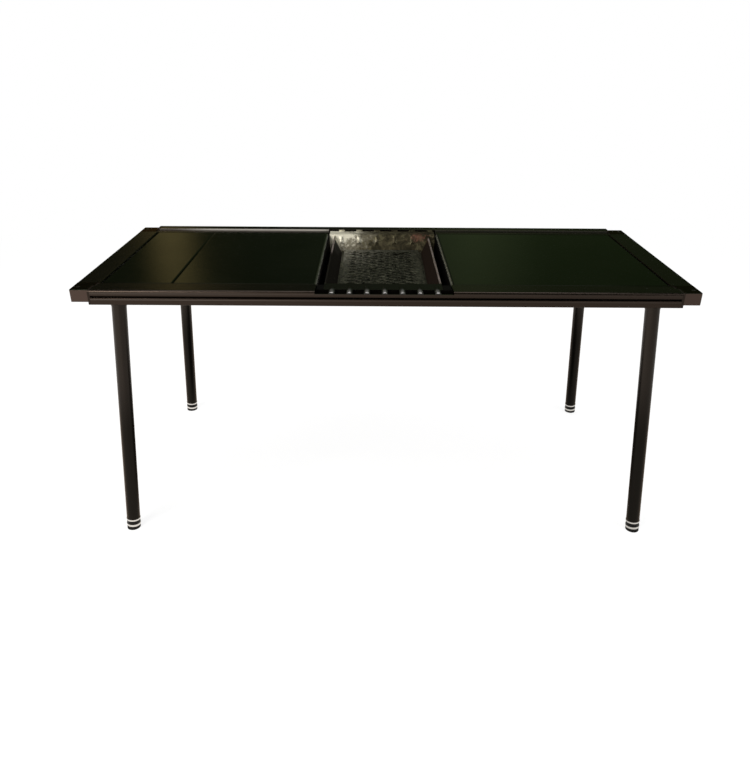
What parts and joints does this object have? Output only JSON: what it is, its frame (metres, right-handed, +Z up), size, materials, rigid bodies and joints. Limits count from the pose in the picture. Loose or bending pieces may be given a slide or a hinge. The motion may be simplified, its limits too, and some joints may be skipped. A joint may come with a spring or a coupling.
{
  "type": "hibachi brazier table",
  "caption": "Low rectangular camp table with splayed tube legs, lift-out sheet-metal top panels and a drop-in charcoal brazier with comb-like rims between slotted rails.",
  "frame": {"origin": "on the ground under the middle of the table", "axes": "+Z up, +X along the table's length towards the wide panel, -Y towards the front rail"},
  "size_m": [1.08, 0.5144, 0.48],
  "materials": {
    "frame_paint": "satin black-brown powder coat on extruded aluminium",
    "block_paint": "satin black-brown coat on cast aluminium",
    "cap_plastic": "matt black moulded plastic",
    "screw_steel": "blackened steel",
    "panel_paint": "satin black coat on folded sheet",
    "case_paint": "heat-proof matt black",
    "stainless": "brushed stainless sheet, heat-tinted",
    "grate_steel": "expanded stainless mesh, dulled by heat",
    "leg_paint": "satin dark brown-black coat",
    "bright_ring": "polished",
    "collar_plastic": "matt black",
    "stem_steel": "zinc-plated screw",
    "foot_rubber": "matt black"
  },
  "bodies": {
    "frame": {"front_rail": "frame_paint", "rear_rail": "frame_paint", "end_beam_left": "frame_paint", "end_beam_right": "frame_paint", "corner_screws": "screw_steel", "leg_nuts": "screw_steel", "rail_cap_front_left": "cap_plastic", "corner_block_front_left": "block_paint", "leg_tube_front_left": "leg_paint", "upper_ring_front_left": "bright_ring", "rail_cap_front_right": "cap_plastic", "corner_block_front_right": "block_paint", "leg_tube_front_right": "leg_paint", "upper_ring_front_right": "bright_ring", "rail_cap_rear_left": "cap_plastic", "corner_block_rear_left": "block_paint", "leg_tube_rear_left": "leg_paint", "upper_ring_rear_left": "bright_ring", "rail_cap_rear_right": "cap_plastic", "corner_block_rear_right": "block_paint", "leg_tube_rear_right": "leg_paint", "upper_ring_rear_right": "bright_ring"},
    "half_panel": {"half_panel": "panel_paint"},
    "unit_panel": {"unit_panel": "panel_paint"},
    "wide_panel": {"wide_panel": "panel_paint"},
    "brazier_case": {"brazier_case": "case_paint"},
    "firebox": {"firebox": "stainless"},
    "charcoal_grate": {"charcoal_grate": "grate_steel"},
    "foot_front_left": {"foot_pad_front_left": "foot_rubber", "lower_ring_front_left": "bright_ring", "foot_collar_front_left": "collar_plastic", "foot_stem_front_left": "stem_steel"},
    "foot_front_right": {"foot_pad_front_right": "foot_rubber", "lower_ring_front_right": "bright_ring", "foot_collar_front_right": "collar_plastic", "foot_stem_front_right": "stem_steel"},
    "foot_rear_left": {"foot_pad_rear_left": "foot_rubber", "lower_ring_rear_left": "bright_ring", "foot_collar_rear_left": "collar_plastic", "foot_stem_rear_left": "stem_steel"},
    "foot_rear_right": {"foot_pad_rear_right": "foot_rubber", "lower_ring_rear_right": "bright_ring", "foot_collar_rear_right": "collar_plastic", "foot_stem_rear_right": "stem_steel"}
  },
  "joints": [
    {"name": "half_panel_lift", "type": "slide", "parent": "frame", "child": "half_panel", "axis": [0, 0, 1], "range_m": [0, 0.06]},
    {"name": "unit_panel_lift", "type": "slide", "parent": "frame", "child": "unit_panel", "axis": [0, 0, 1], "range_m": [0, 0.06]},
    {"name": "wide_panel_lift", "type": "slide", "parent": "frame", "child": "wide_panel", "axis": [0, 0, 1], "range_m": [0, 0.06]},
    {"name": "brazier_lift", "type": "slide", "parent": "frame", "child": "brazier_case", "axis": [0, 0, 1], "range_m": [0, 0.12]},
    {"name": "firebox_lift", "type": "slide", "parent": "brazier_case", "child": "firebox", "axis": [0, 0, 1], "range_m": [0, 0.12]},
    {"name": "grate_lift", "type": "slide", "parent": "firebox", "child": "charcoal_grate", "axis": [0, 0, 1], "range_m": [0, 0.12]},
    {"name": "foot_screw_front_left", "type": "slide", "parent": "frame", "child": "foot_front_left", "axis": [-0.0671, -0.0608, -0.9959], "range_m": [0, 0.012]},
    {"name": "foot_screw_front_right", "type": "slide", "parent": "frame", "child": "foot_front_right", "axis": [0.0671, -0.0608, -0.9959], "range_m": [0, 0.012]},
    {"name": "foot_screw_rear_left", "type": "slide", "parent": "frame", "child": "foot_rear_left", "axis": [-0.0671, 0.0608, -0.9959], "range_m": [0, 0.012]},
    {"name": "foot_screw_rear_right", "type": "slide", "parent": "frame", "child": "foot_rear_right", "axis": [0.0671, 0.0608, -0.9959], "range_m": [0, 0.012]}
  ]
}
